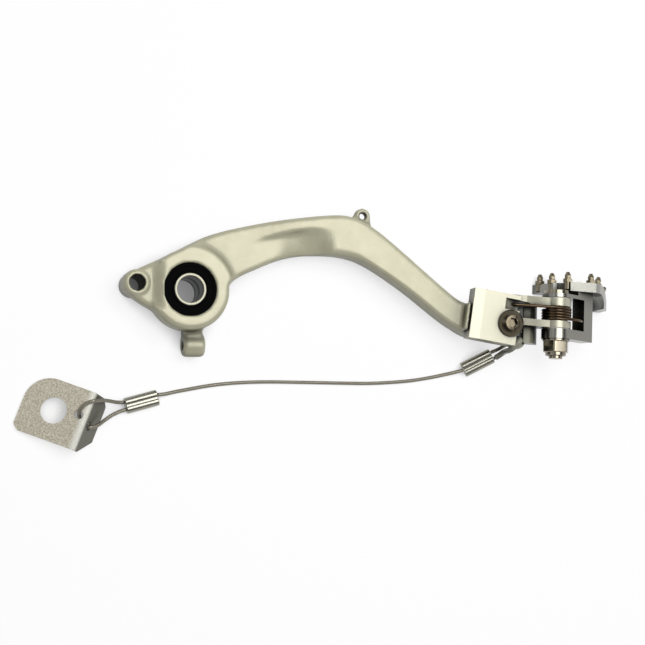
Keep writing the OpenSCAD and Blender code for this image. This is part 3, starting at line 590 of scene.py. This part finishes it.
# The block between the ears: its outline across the hinge, and its reach along it
block_profile = [(-21.6, -7), (-21.6, 2.4), (-17.5, 1.9), (-14.8, 0.4), (-12.6, -1.8),
                 (-10.6, -4.6), (-9.4, -7)]
block_low, block_high = -18.2, 8.0
block = bmesh.new()
corners = [block.verts.new((x * MM, block_low * MM, z * MM)) for x, z in block_profile]
end_face = block.faces.new(corners)
pulled = bmesh.ops.extrude_face_region(block, geom=[end_face])
bmesh.ops.translate(block, vec=(0, (block_high - block_low) * MM, 0),
                    verts=[g for g in pulled["geom"] if isinstance(g, bmesh.types.BMVert)])
bmesh.ops.transform(block, matrix=hinge_place, verts=block.verts)
bmesh.ops.recalc_face_normals(block, faces=block.faces)
block_mesh = bpy.data.meshes.new("hinge_block")
block.to_mesh(block_mesh)
block.free()
hinge_block = in_scene("hinge_block", block_mesh)
dress("toe_bracket", "machined_toe_bracket", satin_aluminium, 0.3, 3, 24, hinge_block)
# Blackened, then oiled: brown-black, with a sharp highlight on the dome
black_steel = worn_metal("blackened_screw_steel", "5A5345", 1.0, 0.24)
dress("bracket_screw", "button_head_screw", black_steel, 0.25, 3, 25)

# Tip hinge: a zinc-plated bolt through the bracket's ears and the tip's lugs, its nut with
# a nylon locking ring, a washer, plastic thrust washers and the bush inside the spring.
# Polished plating, which mirrors the lamp in bright facets
hinge_steel = worn_metal("bright_zinc_plated_steel", "8A8374", 1.0, 0.2)
for node, name in (("hinge_bolt", "tip_hinge_bolt"), ("hinge_nut", "ringed_hinge_nut"),
                   ("nut_washer", "hinge_nut_washer")):
    dress(node, name, hinge_steel, 0.2)
# Plain plastics: blue nylon with a dull shine, and milky acetal
nylon = worn_metal("moulded_nylon", "2E4A8A", 0.0, 0.45)
dress("nut_nylon_ring", "nut_locking_ring", nylon, 0.1)
acetal = worn_metal("moulded_acetal", "D9D7CC", 0.0, 0.4)
dress("thrust_washers", "acetal_thrust_washers", acetal, 0.05)
dress("spring_bush", "turned_spring_bush", hinge_steel, 0.1)

# Torsion spring: oil-tempered wire wound round the bush. One leg lies on the bracket,
# the other pushes on the tip's web.
wire_mm, coil_slack_mm = 1.7, 0.5
coil_r, coil_turns, ear_gap, turn_steps = 8.1, 4, 8.8, 20
coil_pitch = (ear_gap - wire_mm - coil_slack_mm) / coil_turns
coil_low = -coil_pitch * coil_turns / 2
short_leg = [(16, coil_low - 0.1, -0.6), (15.2, coil_low - 0.1, 2), (12.6, coil_low, 5),
             (9, coil_low, 7), (4.5, coil_low, coil_r - 0.1)]
long_leg = [(-7, -coil_low, coil_r - 0.2), (-15, -coil_low, coil_r - 0.8),
            (-23, -coil_low, coil_r - 1.4), (-30, -coil_low, coil_r - 1.8)]
coil = []
for i in range(coil_turns * turn_steps + 1):
    turn = math.radians(90 + 360 / turn_steps * i)
    coil.append((coil_r * math.cos(turn), coil_low + coil_pitch * i / turn_steps,
                 coil_r * math.sin(turn)))
spring_places = short_leg + coil + long_leg
spring_route = [hinge_place @ p for p in smooth_route(spring_places, 3)]
# Dark brown temper colour under oil, with a thin bright line on each turn
tempered_wire = worn_metal("oil_tempered_spring_wire", "5A4B3A", 0.95, 0.27)
spring = swept("wound_torsion_spring", spring_route, round_section(wire_mm * MM / 2, 10))
spring.data.materials.append(tempered_wire)
# The short leg goes with the tip when it folds; the coil and the long leg stay
leg_start = hinge_place @ Vector((9 * MM, 0, 0))
leg_end = hinge_place @ Vector((15 * MM, 0, 0))
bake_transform(spring, "pedal", "tip", start=tuple(leg_start), end=tuple(leg_end))
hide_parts("torsion_spring")

# Folding tip: milled from one piece of aluminium, with two lugs on the hinge bolt and a
# tread plate. Six pointed steel studs with hexagon bases are screwed in to grip the boot.
# Bare milled faces, mirror-like but grey, with painted shade turning the slot black
milled_aluminium = worn_metal("milled_tip_aluminium", "8E8D86", 0.95, 0.24, 0.8, 0.05,
                              painted_shade=("262824", 12.0))
dress("folding_tip", "milled_folding_tip", milled_aluminium, 0.4, 3)
# Brownish plated steel, bright at the turned points
stud_steel = worn_metal("zinc_plated_stud_steel", "7A7260", 1.0, 0.26)
dress("grip_studs", "pointed_grip_studs", stud_steel, 0.12)
